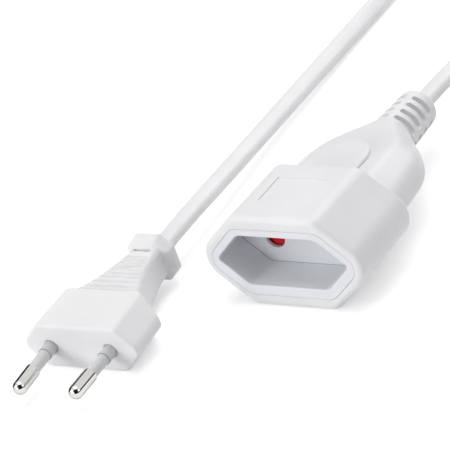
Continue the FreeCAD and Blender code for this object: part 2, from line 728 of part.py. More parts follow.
def strain_relief():
    length = RELIEF_BACK - NECK_BACK
    sleeve = Part.makeCone(RELIEF_ROOT_RADIUS, RELIEF_TIP_RADIUS, length,
                           Vector(0, NECK_BACK, SOCKET_AXIS), Vector(0, 1, 0))
    sleeve = sleeve.makeFillet(RELIEF_TIP_ROUND, edges_at(sleeve, RELIEF_BACK))
    stem = rod(0, SOCKET_AXIS, STEM_FRONT, NECK_BACK, RELIEF_STEM_RADIUS)
    half_width = RELIEF_FLANGE_WIDTH / 2
    half_height = RELIEF_FLANGE_HEIGHT / 2
    corners = [(half_width, half_height), (-half_width, half_height),
               (-half_width, -half_height), (half_width, -half_height)]
    flange = polygon_prism(corners, [RELIEF_FLANGE_CORNER] * 4, place_across(FLANGE_FRONT, SOCKET_AXIS),
                           Vector(0, RELIEF_FLANGE_THICKNESS, 0))
    cuts = [cord_bar(FLANGE_FRONT, RELIEF_BACK, SOCKET_AXIS, CORD_BORE_CLEARANCE)]
    taper = (RELIEF_TIP_RADIUS - RELIEF_ROOT_RADIUS) / length
    for row in range(RELIEF_SLOT_ROWS):
        reach = RELIEF_SLOT_LEAD + row * RELIEF_SLOT_PITCH
        cuts.append(relief_slot_row(NECK_BACK + reach, RELIEF_ROOT_RADIUS + taper * reach))
    return sleeve.fuse([stem, flange]).cut(cuts)


def cord_clamp():
    """A crimped ring on the sheath that stops the cord from pulling out."""
    half_width = CLAMP_WIDTH / 2
    half_height = CLAMP_HEIGHT / 2
    back = FLANGE_FRONT - CLAMP_GAP
    corners = [(half_width, half_height), (-half_width, half_height),
               (-half_width, -half_height), (half_width, -half_height)]
    ring = polygon_prism(corners, [CLAMP_CORNER] * 4, place_across(back - CLAMP_LENGTH, SOCKET_AXIS),
                         Vector(0, CLAMP_LENGTH, 0))
    return ring.cut(cord_bar(back - CLAMP_LENGTH, back, SOCKET_AXIS, CORD_BORE_CLEARANCE / 2))


def sheath_in_socket():
    return cord_bar(SHEATH_END, RELIEF_BACK, SOCKET_AXIS)


# Plug, modelled about the middle of its pin face with the pins towards -Y

def put_plug(shape):
    """Moves a plug piece from the plug's own frame to where the plug lies."""
    shape.rotate(Vector(0, 0, 0), Vector(1, 0, 0), PLUG_TIP)
    shape.rotate(Vector(0, 0, 0), Vector(0, 0, 1), PLUG_TURN)
    shape.translate(Vector(PLUG_X, PLUG_Y, PLUG_LIFT))
    return shape


def plug_point(x, y, z):
    tip = math.radians(PLUG_TIP)
    turn = math.radians(PLUG_TURN)
    back = y * math.cos(tip) - z * math.sin(tip)
    up = y * math.sin(tip) + z * math.cos(tip)
    across = x * math.cos(turn) - back * math.sin(turn)
    along = x * math.sin(turn) + back * math.cos(turn)
    return Vector(PLUG_X + across, PLUG_Y + along, PLUG_LIFT + up)


def plug_block():
    """The hexagonal front of the plug, its rear corners cut away slantwise."""
    radii = (PLUG_SIDE_RADIUS, PLUG_EDGE_RADIUS)
    face = hexagon_wire((PLUG_CORNER_WIDTH, PLUG_HEIGHT, PLUG_FLAT_WIDTH), radii, 0)
    back = hexagon_wire((PLUG_CORNER_WIDTH, PLUG_HEIGHT, PLUG_REAR_FLAT_WIDTH), radii, PLUG_BODY_LENGTH)
    block = Part.makeLoft([face, back], True, True)
    block = block.makeFillet(PLUG_FACE_RADIUS, edges_at(block, 0))
    side = PLUG_CORNER_WIDTH / 2
    rear = PLUG_REAR_WIDTH / 2
    corners = [(side, 0), (side, PLUG_SIDE_LENGTH), (rear, PLUG_BODY_LENGTH),
               (-rear, PLUG_BODY_LENGTH), (-side, PLUG_SIDE_LENGTH), (-side, 0)]
    radii = [0, PLUG_REAR_ROUND, 0, 0, PLUG_REAR_ROUND, 0]
    plan = polygon_prism(corners, radii, place_seen_from_above(-PLUG_HEIGHT), Vector(0, 0, 2 * PLUG_HEIGHT))
    return block.common(plan)


def plug_neck():
    """The waist between the block and the collar, seen from above a smooth curve."""
    z0 = -PLUG_HEIGHT
    right = [Vector(half, y, z0) for y, half in PLUG_NECK_SIDE]
    left = [Vector(-half, y, z0) for y, half in reversed(PLUG_NECK_SIDE)]
    sides = []
    for points in (right, left):
        curve = Part.BSplineCurve()
        curve.interpolate(points)
        sides.append(curve.toShape())
    outline = Part.Wire([
        sides[0],
        Part.LineSegment(right[-1], left[0]).toShape(),
        sides[1],
        Part.LineSegment(left[-1], right[0]).toShape(),
    ])
    plan = Part.Face(outline).extrude(Vector(0, 0, 2 * PLUG_HEIGHT))
    root = PLUG_NECK_ROOT_HEIGHT / 2
    tip = PLUG_NECK_TIP_HEIGHT / 2
    corners = [(PLUG_BODY_LENGTH, root), (PLUG_BODY_LENGTH, -root),
               (PLUG_NECK_END, -tip), (PLUG_NECK_END, tip)]
    push = Vector(2 * PLUG_CORNER_WIDTH, 0, 0)
    side_view = polygon_prism(corners, [0] * 4, place_along(-PLUG_CORNER_WIDTH), push)
    neck = plan.common(side_view)
    length = PLUG_NECK_END - PLUG_BODY_LENGTH
    long_edges = [edge for edge in neck.Edges if edge.BoundBox.YLength > length - FLAT_LIMIT]
    return neck.makeFillet(PLUG_NECK_EDGE_RADIUS, long_edges)


def octagon_wire(width, height, corner, y):
    side = width / 2
    top = height / 2
    corners = [
        (side, top - corner), (side - corner, top), (corner - side, top), (-side, top - corner),
        (-side, corner - top), (corner - side, -top), (side - corner, -top), (side, corner - top),
    ]
    return rounded_outline(corners, [COLLAR_ROUND] * 8, place_across(y))


def plug_collar():
    wires = []
    for y, inset in COLLAR_SECTIONS:
        corner = COLLAR_CORNER - inset * math.tan(math.pi / 8)
        wires.append(octagon_wire(COLLAR_WIDTH - 2 * inset, COLLAR_HEIGHT - 2 * inset, corner, y))
    return Part.makeLoft(wires, True, True)


def groove_cuts():
    """Grip grooves across the neck, top and bottom, and the small slot by the collar."""
    root = PLUG_NECK_ROOT_HEIGHT / 2
    fall = (PLUG_NECK_TIP_HEIGHT / 2 - root) / (PLUG_NECK_END - PLUG_BODY_LENGTH)
    grooves = [(y, PLUG_LARGE_GROOVE_RADIUS, PLUG_LARGE_GROOVE_DEPTH) for y in PLUG_LARGE_GROOVES]
    for index in range(PLUG_FINE_GROOVES):
        y = PLUG_FINE_FIRST + index * PLUG_FINE_PITCH
        grooves.append((y, PLUG_FINE_GROOVE_RADIUS, PLUG_FINE_GROOVE_DEPTH))
    cuts = []
    for y, radius, depth in grooves:
        height = root + fall * (y - PLUG_BODY_LENGTH) + radius - depth
        for side in (-1, 1):
            start = Vector(-PLUG_CORNER_WIDTH / 2, y, side * height)
            cuts.append(Part.makeCylinder(radius, PLUG_CORNER_WIDTH, start, Vector(1, 0, 0)))
    half = PLUG_SLOT_WIDTH / 2
    top = root + fall * (PLUG_SLOT_PLACE - PLUG_BODY_LENGTH)
    cuts.append(box(-half, half, PLUG_SLOT_PLACE, PLUG_SLOT_PLACE + PLUG_SLOT_LENGTH,
                    top - PLUG_SLOT_DEPTH, PLUG_HEIGHT))
    return cuts


def pin_place(shape, side):
    """Leans a pin piece inwards and sets it at its place in the face."""
    shape.rotate(Vector(0, 0, 0), Vector(0, 0, 1), -side * PIN_LEAN)
    shape.translate(Vector(side * PIN_BASE_SPACING / 2, 0, 0))
    return shape


def pin(side):
    """A solid pin: bare round tip, thin stem inside the sleeve, barrel for the strands."""
    dome = PIN_RADIUS
    tip = Part.makeSphere(dome, Vector(0, dome - PIN_LENGTH, 0))
    bare = rod(0, 0, dome - PIN_LENGTH, PIN_BARE_LENGTH - PIN_LENGTH, PIN_RADIUS)
    stem = rod(0, 0, PIN_BARE_LENGTH - PIN_LENGTH, BRIDGE_BACK + PIN_BARREL_LENGTH, PIN_CORE_RADIUS)
    flange = rod(0, 0, SLEEVE_BACK + PLUG_FIT, SLEEVE_BACK + PIN_FLANGE_LENGTH, PIN_FLANGE_RADIUS)
    bore = rod(0, 0, BRIDGE_BACK, BRIDGE_BACK + PIN_BARREL_LENGTH, CRIMP_INNER_RADIUS)
    return put_plug(pin_place(tip.fuse([bare, stem, flange]).cut(bore), side))


def sleeve_solid():
    stub = rod(0, 0, -SLEEVE_STUB_LENGTH, SLEEVE_BACK, SLEEVE_STUB_RADIUS)
    return stub.fuse(rod(0, 0, PIN_BARE_LENGTH - PIN_LENGTH, -SLEEVE_STUB_LENGTH, SLEEVE_RADIUS))


def pin_sleeve(side):
    bore = rod(0, 0, -PIN_LENGTH, SLEEVE_BACK, PIN_CORE_RADIUS + PLUG_FIT)
    return put_plug(pin_place(sleeve_solid().cut(bore), side))


def bridge_box(clearance):
    return box(-BRIDGE_WIDTH / 2 - clearance, BRIDGE_WIDTH / 2 + clearance,
               BRIDGE_FRONT - clearance, BRIDGE_BACK + clearance,
               -BRIDGE_HEIGHT / 2 - clearance, BRIDGE_HEIGHT / 2 + clearance)


def pin_seats(side):
    """The space that a pin and its sleeve need in the bridge and the plug's face."""
    sleeve = rod(0, 0, -SLEEVE_STUB_LENGTH, SLEEVE_BACK, SLEEVE_STUB_RADIUS + PLUG_FIT)
    flange_back = SLEEVE_BACK + PIN_FLANGE_LENGTH + PLUG_FIT
    flange = rod(0, 0, SLEEVE_BACK, flange_back, PIN_FLANGE_RADIUS + PLUG_FIT)
    stem_back = BRIDGE_BACK + PIN_BARREL_LENGTH + PLUG_FIT
    stem = rod(0, 0, SLEEVE_BACK, stem_back, PIN_CORE_RADIUS + PLUG_FIT)
    return pin_place(sleeve.fuse([flange, stem]), side)


def plug_bridge():
    return put_plug(bridge_box(0).cut([pin_seats(-1), pin_seats(1)]))


def pin_axis_point(side, y):
    lean = math.tan(math.radians(PIN_LEAN))
    return Vector(side * (PIN_BASE_SPACING / 2 + y * lean), y, 0)


def plug_core_points(side):
    inner = side * CORE_SPACING / 2
    return [
        Vector(inner, PLUG_SHEATH_END, 0),
        Vector(inner, PLUG_SHEATH_END - PLUG_CORE_RUN, 0),
        pin_axis_point(side, PLUG_CORE_END + PLUG_CORE_RUN),
        pin_axis_point(side, PLUG_CORE_END),
    ]


def plug_core(side):
    return put_plug(core_pipe(plug_core_points(side), CORE_RADIUS))


def strand_solid(radius):
    return rod(0, 0, BRIDGE_BACK, PLUG_CORE_END / math.cos(math.radians(PIN_LEAN)), radius)


def plug_strand(side):
    return put_plug(pin_place(strand_solid(STRAND_RADIUS), side))


def plug_body():
    body = plug_block().fuse([plug_neck(), plug_collar()])
    cuts = groove_cuts()
    cuts.append(bridge_box(PLUG_FIT))
    cuts.append(cord_bar(PLUG_SHEATH_END, COLLAR_BACK, 0, PLUG_FIT))
    for side in (-1, 1):
        cuts.append(pin_seats(side))
        cuts.append(pin_place(rod(0, 0, -FACE_HOLE_DEPTH, FACE_HOLE_DEPTH, FACE_HOLE_RADIUS), side))
        cuts.append(core_pipe(plug_core_points(side), CORE_RADIUS + PLUG_FIT))
        cuts.append(pin_place(strand_solid(STRAND_RADIUS + PLUG_FIT), side))
    return put_plug(body.cut(cuts).removeSplitter())


def sheath_in_plug():
    return put_plug(cord_bar(PLUG_SHEATH_END, COLLAR_BACK, 0))


# Cord: two free stretches, the coil and its tie

def twisted_bar(x, z, y0, turn0, turn1):
    """A straight piece of cord that turns from lying flat to standing on edge."""
    wires = []
    for step in range(TWIST_STEPS + 1):
        share = step / TWIST_STEPS
        y = y0 + share * TWIST_LENGTH
        wire = cord_outline(place_across(y))
        wire.rotate(Vector(0, 0, 0), Vector(0, 1, 0), turn0 + share * (turn1 - turn0))
        wire.translate(Vector(x, 0, z))
        wires.append(wire)
    return Part.makeLoft(wires, True, True)


def cord_along(name, points, upright):
    """A plain tube of the cord's section along a route."""
    path, radii = route_wire(points)
    print(name, "radii", " ".join(f"{radius:.0f}" for radius in radii))
    start = points[0]
    ahead = (points[1] - start).normalize()
    across = upright.cross(ahead).normalize()
    lift = ahead.cross(across)
    outline = cord_outline(lambda a, b: start + across * a + lift * b)
    tube = sweep(outline, path)
    flat = CORD_THICKNESS * (CORD_WIDTH - CORD_THICKNESS) + math.pi * CORD_THICKNESS ** 2 / 4
    print(name, f"length {path.Length:.1f}", f"volume share {tube.Volume / (flat * path.Length):.4f}")
    return tube


def socket_route():
    """From the strain relief to where the cord turns on edge before the coil."""
    start = Vector(0, RELIEF_BACK, SOCKET_AXIS)
    return [start, start + Vector(0, SOCKET_FIRST_RUN, 0)] + [
        Vector(*point) for point in SOCKET_RUN
    ] + [
        Vector(COIL_END_X, COIL_FRONT - TWIST_LENGTH - LAST_RUN, COIL_HIGH),
        Vector(COIL_END_X, COIL_FRONT - TWIST_LENGTH, COIL_HIGH),
    ]


def plug_route():
    """From the plug's collar to where the cord turns on edge before the coil."""
    return [plug_point(0, COLLAR_BACK, 0), plug_point(0, COLLAR_BACK + PLUG_FIRST_RUN, 0)] + [
        Vector(*point) for point in PLUG_RUN
    ] + [
        Vector(COIL_X, COIL_FRONT - TWIST_LENGTH - LAST_RUN, COIL_LOW),
        Vector(COIL_X, COIL_FRONT - TWIST_LENGTH, COIL_LOW),
    ]


def cord_socket_run():
    tube = cord_along("cord_socket_run", socket_route(), Vector(0, 0, 1))
    twist = twisted_bar(COIL_END_X, COIL_HIGH, COIL_FRONT - TWIST_LENGTH, 0, -90)
    return tube.fuse(twist)


def cord_plug_run():
    tube = cord_along("cord_plug_run", plug_route(), Vector(0, 0, 1))
    twist = twisted_bar(COIL_X, COIL_LOW, COIL_FRONT - TWIST_LENGTH, 0, 90)
    return tube.fuse(twist)


def coil_radius(turn):
    """Spirals in at a steady rate to half way, then out again."""
    return COIL_RADIUS - COIL_PITCH * min(turn, COIL_TURNS - turn)


def coil_height(turn):
    """Climbs one layer in the half turn where the spiral reverses."""
    share = min(max((turn - COIL_TURNS / 2) * 2 + 0.5, 0), 1)
    return COIL_LOW + COIL_LAYER * (1 - math.cos(math.pi * share)) / 2


def coil_point(turn):
    angle = math.pi - 2 * math.pi * turn
    radius = coil_radius(turn)
    x = COIL_MIDDLE_X + radius * math.cos(angle)
    y = COIL_Y + radius * math.sin(angle)
    return Vector(x, y, coil_height(turn))


def coil_knots():
    knots = []
    count = round(COIL_TURNS * COIL_KNOTS)
    for index in range(count + 1):
        turn = index / COIL_KNOTS
        before = coil_point(max(turn - KNOT_STEP, 0))
        after = coil_point(min(turn + KNOT_STEP, COIL_TURNS))
        knots.append((coil_point(turn), (after - before).normalize()))
    knots[0] = (knots[0][0], Vector(0, 1, 0))
    knots[-1] = (knots[-1][0], Vector(0, -1, 0))
    return knots


def section_gap(point, other):
    """The gap between two places of the cord where both stand on edge."""
    out = Vector(point.x - COIL_MIDDLE_X, point.y - COIL_Y, 0)
    out_other = Vector(other.x - COIL_MIDDLE_X, other.y - COIL_Y, 0)
    radial = out.Length - out_other.Length
    rise = max(abs(point.z - other.z) - (CORD_WIDTH - CORD_THICKNESS), 0)
    return math.hypot(radial, rise) - CORD_THICKNESS


def print_coil_gap(path):
    """Measures the cord's least gap to its own other turns on points of the path."""
    steps = round(COIL_TURNS * GAP_POINTS)
    spots = [Vector(spot) for spot in path.discretize(steps * 4)]
    least = CORD_WIDTH
    rows = {}
    for spot in spots:
        angle = math.atan2(spot.y - COIL_Y, spot.x - COIL_MIDDLE_X)
        rows.setdefault(round(angle * GAP_POINTS / (2 * math.pi)) % GAP_POINTS, []).append(spot)
    for row in rows.values():
        for first in row:
            for second in row:
                apart = (first - second).Length
                if apart > CORD_THICKNESS:
                    least = min(least, section_gap(first, second))
    print(f"cord_coil length {path.Length:.0f}", f"least gap {least:.2f}")


def cord_coil():
    knots = coil_knots()
    path = wound_wire(knots, CORD_WIDTH)
    print_coil_gap(path)
    start = knots[0][0] - Vector(0, CORD_WIDTH, 0)
    outline = cord_outline(lambda a, b: start + Vector(-b, 0, a))
    return sweep(outline, path)


def coil_tie():
    """A band round the bundle at the far side of the coil."""
    inner_low = COIL_LOW - CORD_WIDTH / 2 - TIE_CLEARANCE
    inner_high = COIL_HIGH + CORD_WIDTH / 2 + TIE_CLEARANCE
    inmost = coil_radius(COIL_TURNS / 2 - 1 / 2) - CORD_THICKNESS / 2
    bow = TIE_WIDTH ** 2 / (8 * inmost)
    inner = inmost - bow - TIE_CLEARANCE
    outer = coil_radius(1 / 4) + CORD_THICKNESS / 2 + TIE_CLEARANCE
    place = place_along(COIL_MIDDLE_X - TIE_WIDTH / 2)
    push = Vector(TIE_WIDTH, 0, 0)

    def loop(wall):
        y0 = COIL_Y + inner - wall
        y1 = COIL_Y + outer + wall
        z0 = inner_low - wall
        z1 = inner_high + wall
        corners = [(y0, z0), (y1, z0), (y1, z1), (y0, z1)]
        return polygon_prism(corners, [TIE_CORNER + wall] * 4, place, push)

    return loop(TIE_THICKNESS).cut(loop(0))


PIECES = {
    "socket_shell": socket_shell,
    "socket_insert": socket_insert,
    "contact_carrier": contact_carrier,
    "pin_shutter": pin_shutter,
    "shutter_pivot": shutter_pivot,
    "shutter_spring": shutter_spring,
    "strain_relief": strain_relief,
    "cord_clamp": cord_clamp,
    "sheath_in_socket": sheath_in_socket,
    "cord_socket_run": cord_socket_run,
    "cord_coil": cord_coil,
    "coil_tie": coil_tie,
    "cord_plug_run": cord_plug_run,
    "plug_body": plug_body,
    "plug_bridge": plug_bridge,
    "sheath_in_plug": sheath_in_plug,
}

PAIRED_PIECES = {
    "contact": contact,
    "socket_core": socket_core,
    "socket_strand": socket_strand,
    "pin": pin,
    "pin_sleeve": pin_sleeve,
    "plug_core": plug_core,
    "plug_strand": plug_strand,
}


def write(name, shape):
    if not shape.isValid() or len(shape.Solids) != 1:
        print("look at", name, "valid", shape.isValid(), "solids", len(shape.Solids))
    shape.exportStep(f"parts/{name}.step")


def main():
    os.makedirs("parts", exist_ok=True)
    for name, make in PIECES.items():
        write(name, make())
    for name, make in PAIRED_PIECES.items():
        write(f"{name}_left", make(-1))
        write(f"{name}_right", make(1))


main()
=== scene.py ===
import json
import math

import bpy
from mathutils import Euler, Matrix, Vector


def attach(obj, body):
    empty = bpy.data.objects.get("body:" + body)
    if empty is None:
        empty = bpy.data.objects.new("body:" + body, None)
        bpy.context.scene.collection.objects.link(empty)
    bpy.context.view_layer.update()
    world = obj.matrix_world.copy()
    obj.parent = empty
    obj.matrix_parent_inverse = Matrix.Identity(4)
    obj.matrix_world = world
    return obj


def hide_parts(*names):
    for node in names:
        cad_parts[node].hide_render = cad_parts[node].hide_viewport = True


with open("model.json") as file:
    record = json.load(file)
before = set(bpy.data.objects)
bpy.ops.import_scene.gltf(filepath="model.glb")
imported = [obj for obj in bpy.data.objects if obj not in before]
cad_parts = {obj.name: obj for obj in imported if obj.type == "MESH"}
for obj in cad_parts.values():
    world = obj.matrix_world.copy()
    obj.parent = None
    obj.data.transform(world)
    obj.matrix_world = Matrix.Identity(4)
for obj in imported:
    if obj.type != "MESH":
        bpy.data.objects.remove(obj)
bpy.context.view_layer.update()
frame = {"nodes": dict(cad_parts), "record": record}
NODES = frame["nodes"]
scene = bpy.context.scene

# Camera, at the photograph's viewpoint

CAMERA_PLACE = (0.348215, -0.483405, 0.330973)
CAMERA_TURN = (60.713, 15.470, 30.776)
CAMERA_LENS = 200.0
CAMERA_SENSOR = 36.0
CAMERA_CLIP = (0.05, 20.0)


def make_camera():
    data = bpy.data.cameras.new("camera")
    data.lens = CAMERA_LENS
    data.sensor_width = CAMERA_SENSOR
    data.clip_start, data.clip_end = CAMERA_CLIP
    camera = bpy.data.objects.new("camera", data)
    camera.location = CAMERA_PLACE
    camera.rotation_euler = Euler([math.radians(a) for a in CAMERA_TURN])
    scene.collection.objects.link(camera)
    scene.camera = camera


make_camera()

# Cord: one smooth line from the socket through the coil to the plug. The points
# follow the CAD source's route, and the coil's turns come from a loop. A tilt of 0
# or 180 degrees lays the flat cord down, and one of 90 degrees stands it on edge

CORD_WIDTH = 0.0060
CORD_THICKNESS = 0.0038
ON_EDGE = -90

# The line's order, its steps from point to point, and those of its section's round sides
CORD_ORDER = 3
CORD_STEPS = 6
CORD_ROUND_STEPS = 10

SOCKET_RUN = (
    ((0.0000, 0.0404, 0.0137), -180),
    ((0.0000, 0.0512, 0.0137), -177),
    ((0.0008, 0.0727, 0.0130), -166),
    ((0.0100, 0.0978, 0.0112), -158),
    ((0.0220, 0.1218, 0.0107), -140),
    ((0.0277, 0.1390, 0.0108), -124),
    ((0.0277, 0.1510, 0.0108), -110),
    ((0.0277, 0.1710, 0.0108), ON_EDGE),
)
PLUG_RUN = (
    ((-0.0588, 0.1710, 0.0043), ON_EDGE),
    ((-0.0588, 0.1510, 0.0043), -75),
    ((-0.0588, 0.1390, 0.0043), -62),
    ((-0.0584, 0.1268, 0.0030), -48),
    ((-0.05805, 0.1048, 0.0029), -38),
    ((-0.0566, 0.0793, 0.0035), -30),
    ((-0.0531, 0.0425, 0.0056), -23),
    ((-0.04905, 0.0091, 0.0082), -15),
    ((-0.04707, -0.0184, 0.00946), -6),
    ((-0.04658, -0.03237, 0.0088), 0),
)

COIL_MIDDLE = (-0.01555, 0.1770)
COIL_RADIUS = 0.04325
COIL_PITCH = 0.0044
COIL_TURNS = 7.5
COIL_LOW = 0.0043
COIL_RISE = 0.0065
COIL_RISE_TURNS = 0.5
COIL_POINTS = 16


def coil_points():
    """The corners of lines that touch the spiral, from the socket's end to the plug's.
    The line goes inwards in the upper layer, sinks within half a turn and comes back
    outwards in the lower one."""
    points = []
    count = round(COIL_TURNS * COIL_POINTS)
    for index in reversed(range(count)):
        turn = (index + 0.5) / COIL_POINTS
        radius = COIL_RADIUS - COIL_PITCH * min(turn, COIL_TURNS - turn)
        radius /= math.cos(math.pi / COIL_POINTS)
        share = (turn - COIL_TURNS / 2) / COIL_RISE_TURNS + 0.5
        share = min(max(share, 0), 1)
        height = COIL_LOW + COIL_RISE * (1 - math.cos(math.pi * share)) / 2
        angle = math.pi - 2 * math.pi * turn
        x = COIL_MIDDLE[0] + radius * math.cos(angle)
        y = COIL_MIDDLE[1] + radius * math.sin(angle)
        points.append(((x, y, height), ON_EDGE))
    return points


def cord_profile():
    """The cord's flat section, as the outline that its line carries along."""
    half = CORD_THICKNESS / 2
    side = (CORD_WIDTH - CORD_THICKNESS) / 2
    corners = []
    for middle, start in ((side, -90), (-side, 90)):
        for step in range(CORD_ROUND_STEPS + 1):
            angle = math.radians(start + 180 * step / CORD_ROUND_STEPS)
            corners.append((middle + half * math.cos(angle), half * math.sin(angle)))
    data = bpy.data.curves.new("cord_profile", "CURVE")
    data.dimensions = "2D"
    data.fill_mode = "NONE"
    spline = data.splines.new("POLY")
    spline.points.add(len(corners) - 1)
    for point, corner in zip(spline.points, corners):
        point.co = (*corner, 0, 1)
    spline.use_cyclic_u = True
    profile = bpy.data.objects.new("cord_profile", data)
    scene.collection.objects.link(profile)
    return profile


def cord_line(points, profile=None):
    """The cord's smooth line as a mesh: a bare line, or a tube of the profile's section."""
    data = bpy.data.curves.new("cord_line", "CURVE")
    data.dimensions = "3D"
    data.twist_mode = "Z_UP"
    data.resolution_u = CORD_STEPS
    if profile:
        data.bevel_mode = "OBJECT"
        data.bevel_object = profile
    spline = data.splines.new("NURBS")
    spline.points.add(len(points) - 1)
    for point, (place, tilt) in zip(spline.points, points):
        point.co = (*place, 1)
        point.tilt = math.radians(tilt)
    spline.order_u = CORD_ORDER
    spline.use_endpoint_u = True
    line = bpy.data.objects.new("cord_line", data)
    scene.collection.objects.link(line)
    evaluated = line.evaluated_get(bpy.context.evaluated_depsgraph_get())
    mesh = bpy.data.meshes.new_from_object(evaluated)
    bpy.data.objects.remove(line)
    return mesh


def make_cord():
    """The cord's tube, and the points down its middle."""
    points = list(SOCKET_RUN) + coil_points() + list(PLUG_RUN)
    line = cord_line(points)
    profile = cord_profile()
    tube = cord_line(points, profile)
    bpy.data.objects.remove(profile)
    tube.name = "cord"
    tube.shade_smooth()
    cord = bpy.data.objects.new("cord", tube)
    scene.collection.objects.link(cord)
    return cord, [vertex.co[:] for vertex in line.vertices]


cord, cord_path = make_cord()
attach(cord, "lead")
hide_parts("cord_socket_run", "cord_coil", "cord_plug_run")

# The plug at the cord's far end, with all that is in it, and the tie round the coil
CORD_PIECES = ["plug_body", "plug_bridge", "sheath_in_plug"]
for pair in ("pin", "pin_sleeve", "plug_core", "plug_strand"):
    CORD_PIECES += [pair + "_left", pair + "_right"]
CORD_PIECES.append("coil_tie")

# Materials, all made from nodes. Lengths are in metres and scales per metre

# The mix node's colour sockets
MIX_FIRST = 6
MIX_SECOND = 7
MIX_RESULT = 2


class Surface:
    """A material under construction: its node tree and its main shader."""

    def __init__(self, name):
        self.material = bpy.data.materials.new(name)
        self.material.use_nodes = True
        self.tree = self.material.node_tree
        self.shader = self.tree.nodes["Principled BSDF"]
        self.place = self.add("ShaderNodeTexCoord").outputs["Object"]

    def add(self, kind, **values):
        node = self.tree.nodes.new(kind)
        for name, value in values.items():
            setattr(node, name, value)
        return node

    def link(self, source, target):
        self.tree.links.new(source, target)

    def noise(self, scale, detail, stretch=None):
        """Noise, drawn out along an axis if a stretch is given."""
        place = self.place
        if stretch:
            mapping = self.add("ShaderNodeMapping")
            mapping.inputs["Scale"].default_value = stretch
            self.link(place, mapping.inputs["Vector"])
            place = mapping.outputs["Vector"]
        noise = self.add("ShaderNodeTexNoise")
        noise.inputs["Scale"].default_value = scale
        noise.inputs["Detail"].default_value = detail
        self.link(place, noise.inputs["Vector"])
        return noise.outputs["Fac"]

    def ramp(self, factor, stops):
        ramp = self.add("ShaderNodeValToRGB")
        elements = ramp.color_ramp.elements
        while len(elements) < len(stops):
            elements.new(0.5)
        for element, (place, colour) in zip(elements, stops):
            element.position = place
            element.color = (*colour, 1)
        self.link(factor, ramp.inputs["Fac"])
        return ramp.outputs["Color"]

    def along(self, axis, scale, start):
        """How far a point lies along an axis, times a scale, counted from a start."""
        dot = self.add("ShaderNodeVectorMath", operation="DOT_PRODUCT")
        dot.inputs[1].default_value = axis
        self.link(self.place, dot.inputs[0])
        sum_up = self.add("ShaderNodeMath", operation="MULTIPLY_ADD")
        sum_up.inputs[1].default_value = scale
        sum_up.inputs[2].default_value = -scale * start
        self.link(dot.outputs["Value"], sum_up.inputs[0])
        return sum_up.outputs[0]

    def times(self, first, second):
        product = self.add("ShaderNodeMix", data_type="RGBA", blend_type="MULTIPLY")
        product.inputs["Factor"].default_value = 1.0
        self.link(first, product.inputs[MIX_FIRST])
        self.link(second, product.inputs[MIX_SECOND])
        return product.outputs[MIX_RESULT]

    def spread(self, factor, low, high):
        spread = self.add("ShaderNodeMapRange")
        spread.inputs["To Min"].default_value = low
        spread.inputs["To Max"].default_value = high
        self.link(factor, spread.inputs["Value"])
        return spread.outputs["Result"]

    def bump(self, factor, distance):
        """Relief of that depth."""
        bump = self.add("ShaderNodeBump")
        bump.inputs["Strength"].default_value = 1.0
        bump.inputs["Distance"].default_value = distance
        self.link(factor, bump.inputs["Height"])
        self.link(bump.outputs["Normal"], self.shader.inputs["Normal"])


def tinted(colour, shades):
    """Stops of a ramp: the colour, made darker or lighter at each place."""
    return [(place, tuple(min(1.0, channel * shade) for channel in colour))
            for place, shade in shades]


# Scales of the shade changes and of the fine marks, shades, and changes of roughness
PLASTIC_CLOUD = 60
PLASTIC_SHADES = ((0.3, 0.97), (0.7, 1.02))
PLASTIC_GLOSS = (-0.05, 0.05)
METAL_LINES = 2500
METAL_DEPTH = 1e-6
METAL_SHADES = ((0.25, 0.9), (0.75, 1.05))
METAL_GLOSS = (-0.04, 0.06)


def plastic(name, colour, roughness, grain=900, depth=4e-6, bands=None):
    """Moulded plastic: slight shade changes, a fine grain and uneven gloss. Bands are
    an axis, where they start and end along it, and shades from one end to the other."""
    surface = Surface(name)
    cloud = surface.noise(PLASTIC_CLOUD, detail=3)
    tone = surface.ramp(cloud, tinted(colour, PLASTIC_SHADES))
    if bands:
        axis, start, end, stops = bands
        place = surface.along(axis, 1 / (end - start), start)
        shades = [((spot - start) / (end - start), (shade,) * 3) for spot, shade in stops]
        tone = surface.times(tone, surface.ramp(place, shades))
    surface.link(tone, surface.shader.inputs["Base Color"])
    fine = surface.noise(grain, detail=4)
    gloss = surface.spread(fine, *(roughness + change for change in PLASTIC_GLOSS))
    surface.link(gloss, surface.shader.inputs["Roughness"])
    surface.bump(fine, depth)
    return surface.material


def metal(name, colour, roughness, stretch, edge=1.0):
    """Metal with fine marks drawn out along one axis. Edge is how bright its rim is."""
    surface = Surface(name)
    surface.shader.inputs["Metallic"].default_value = 1.0
    surface.shader.inputs["Specular Tint"].default_value = (edge, edge, edge, 1)
    lines = surface.noise(METAL_LINES, detail=3, stretch=stretch)
    tone = surface.ramp(lines, tinted(colour, METAL_SHADES))
    surface.link(tone, surface.shader.inputs["Base Color"])
    gloss = surface.spread(lines, *(roughness + change for change in METAL_GLOSS))
    surface.link(gloss, surface.shader.inputs["Roughness"])
    surface.bump(lines, METAL_DEPTH)
    return surface.material


# The insert's pale lip; painted shade that makes the recess's walls and its floor a little
# darker than the lip; and a dark line round the floor
INSERT_SHADE_BANDS = ((0, 1, 0), -0.0420, -0.0260, (
    (-0.0403, 1.0), (-0.0399, 0.93), (-0.02895, 0.93),
    (-0.02889, 0.45), (-0.02872, 0.45), (-0.02866, 0.94),
))

# The thin part of a pin's sleeve, the line round its foot, and the darker foot
SLEEVE_BANDS = ((-0.0349, 0.9983, 0.0471), -0.0840, -0.0720, (
    (-0.07618, 1.0), (-0.07613, 0.55), (-0.07603, 0.55), (-0.07598, 0.87),
))

